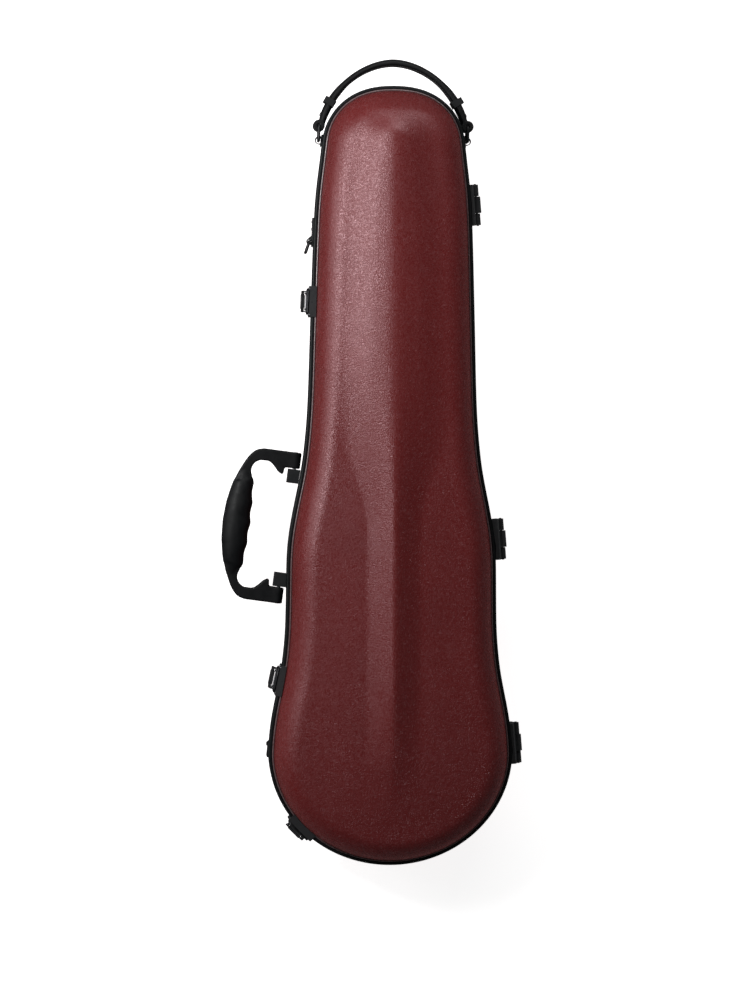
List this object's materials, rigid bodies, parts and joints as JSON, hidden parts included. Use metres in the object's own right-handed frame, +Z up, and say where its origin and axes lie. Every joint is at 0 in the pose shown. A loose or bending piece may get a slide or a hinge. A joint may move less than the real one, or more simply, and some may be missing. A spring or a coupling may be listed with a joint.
{
  "type": "violin case",
  "caption": "Shaped hard case for a full-size violin: keeled dark red lid, black rim, side hinges, draw latches, side grip and strap handle, padded inside.",
  "frame": {"origin": "middle of the bounding box's footprint, on the plane under the four rubber feet", "axes": "+X from the handle and latches to the hinges, +Y from the wide end to the narrow end, +Z up through the lid"},
  "size_m": [0.3073, 0.8178, 0.1403],
  "materials": {
    "shell": "fine-grained, semi-gloss dark red",
    "rim": "satin black",
    "rubber": "matt black",
    "plush": "short velour pile",
    "webbing": "woven band",
    "black_plastic": "fine-grained black",
    "leather": "smooth black, stitched",
    "steel": "bright wire and pins",
    "hardware": "satin black coating"
  },
  "bodies": {
    "accessory_lid": {"accessory_lid": "plush"},
    "case_base": {"base_liner": "plush", "base_rim": "rim", "base_shell": "shell", "foot_narrow_left": "rubber", "foot_narrow_right": "rubber", "foot_wide_left": "rubber", "foot_wide_right": "rubber", "handle_bracket_narrow": "black_plastic", "handle_bracket_wide": "black_plastic", "handle_pin_narrow": "steel", "handle_pin_wide": "steel", "hinge_leaf_base_1": "hardware", "hinge_leaf_base_2": "hardware", "hinge_leaf_base_3": "hardware", "hinge_pin_1": "steel", "hinge_pin_2": "steel", "hinge_pin_3": "steel", "latch_pin_1": "steel", "latch_pin_2": "steel", "latch_pin_3": "steel", "latch_plate_1": "hardware", "latch_plate_2": "hardware", "latch_plate_3": "hardware", "neck_pad": "plush", "neck_strap": "webbing", "rim_gasket": "rubber", "strap_lug_narrow": "hardware", "strap_lug_wide": "hardware", "top_lug_left": "hardware", "top_lug_right": "hardware"},
    "lid": {"bow_post_left": "black_plastic", "bow_post_right": "black_plastic", "bow_tip_holder": "plush", "hinge_leaf_lid_1": "hardware", "hinge_leaf_lid_2": "hardware", "hinge_leaf_lid_3": "hardware", "latch_keeper_1": "hardware", "latch_keeper_2": "hardware", "latch_keeper_3": "hardware", "lid_liner": "plush", "lid_rim_narrow": "rim", "lid_rim_wide": "rim", "lid_shell": "shell"},
    "bow_spinner_left": {"bow_spinner_left": "black_plastic"},
    "bow_spinner_right": {"bow_spinner_right": "black_plastic"},
    "latch_bail_1": {"latch_bail_1": "steel"},
    "latch_bail_2": {"latch_bail_2": "steel"},
    "latch_bail_3": {"latch_bail_3": "steel"},
    "latch_lever_1": {"latch_lever_1": "hardware"},
    "latch_lever_2": {"latch_lever_2": "hardware"},
    "latch_lever_3": {"latch_lever_3": "hardware"},
    "side_handle": {"side_handle": "black_plastic"},
    "strap_ring_narrow": {"strap_ring_narrow": "hardware"},
    "strap_ring_wide": {"strap_ring_wide": "hardware"},
    "top_handle": {"strap_slider_left": "black_plastic", "strap_slider_right": "black_plastic", "top_ring_left": "hardware", "top_ring_right": "hardware", "top_strap": "leather"}
  },
  "joints": [
    {"name": "lid_hinge", "type": "hinge", "parent": "case_base", "child": "lid", "pos_m": [0.13135, -0.0767, 0.078], "axis": [-0.0822, 0.9966, 0], "range_deg": [0, 105]},
    {"name": "accessory_lid_hinge", "type": "hinge", "parent": "case_base", "child": "accessory_lid", "pos_m": [0.0187, 0.2453, 0.074], "axis": [1, 0, 0], "range_deg": [0, 80]},
    {"name": "side_handle_hinge", "type": "hinge", "parent": "case_base", "child": "side_handle", "pos_m": [-0.0876, -0.0665, 0.07], "axis": [0.1276, 0.9918, 0], "range_deg": [-80, 80]},
    {"name": "top_handle_swing", "type": "hinge", "parent": "case_base", "child": "top_handle", "pos_m": [0.0187, 0.3263, 0.071], "axis": [1, 0, 0], "range_deg": [-40, 24]},
    {"name": "bow_spinner_left_turn", "type": "hinge", "parent": "lid", "child": "bow_spinner_left", "pos_m": [-0.0373, -0.3037, 0.078], "axis": [0, 0, 1], "range_deg": [-90, 90]},
    {"name": "bow_spinner_right_turn", "type": "hinge", "parent": "lid", "child": "bow_spinner_right", "pos_m": [0.0747, -0.3037, 0.078], "axis": [0, 0, 1], "range_deg": [-90, 90]},
    {"name": "strap_ring_narrow_swing", "type": "hinge", "parent": "case_base", "child": "strap_ring_narrow", "pos_m": [-0.06556, 0.22442, 0.07], "axis": [0, 0, 1], "range_deg": [-140, 12]},
    {"name": "strap_ring_wide_swing", "type": "hinge", "parent": "case_base", "child": "strap_ring_wide", "pos_m": [-0.10373, -0.28876, 0.051], "axis": [0, 0, 1], "range_deg": [-140, 12]},
    {"name": "latch_lever_1_hinge", "type": "hinge", "parent": "case_base", "child": "latch_lever_1", "pos_m": [-0.06876, 0.16345, 0.074], "axis": [0.0294, 0.9996, 0], "range_deg": [0, 120]},
    {"name": "latch_bail_1_hinge", "type": "hinge", "parent": "latch_lever_1", "child": "latch_bail_1", "pos_m": [-0.06776, 0.16342, 0.068], "axis": [0.0294, 0.9996, 0], "range_deg": [-160, 0]},
    {"name": "latch_lever_2_hinge", "type": "hinge", "parent": "case_base", "child": "latch_lever_2", "pos_m": [-0.09898, -0.21971, 0.074], "axis": [0.1981, 0.9802, 0], "range_deg": [0, 120]},
    {"name": "latch_bail_2_hinge", "type": "hinge", "parent": "latch_lever_2", "child": "latch_bail_2", "pos_m": [-0.098, -0.21991, 0.068], "axis": [0.1981, 0.9802, 0], "range_deg": [-160, 0]},
    {"name": "latch_lever_3_hinge", "type": "hinge", "parent": "case_base", "child": "latch_lever_3", "pos_m": [-0.07579, -0.37523, 0.074], "axis": [-0.7056, 0.7086, 0], "range_deg": [0, 120]},
    {"name": "latch_bail_3_hinge", "type": "hinge", "parent": "latch_lever_3", "child": "latch_bail_3", "pos_m": [-0.07508, -0.37452, 0.068], "axis": [-0.7056, 0.7086, 0], "range_deg": [-160, 0]}
  ],
  "couplings": [
    {"joint": "latch_bail_1_hinge", "follows": "latch_lever_1_hinge", "ratio": -1.33},
    {"joint": "latch_bail_2_hinge", "follows": "latch_lever_2_hinge", "ratio": -1.33},
    {"joint": "latch_bail_3_hinge", "follows": "latch_lever_3_hinge", "ratio": -1.33}
  ]
}
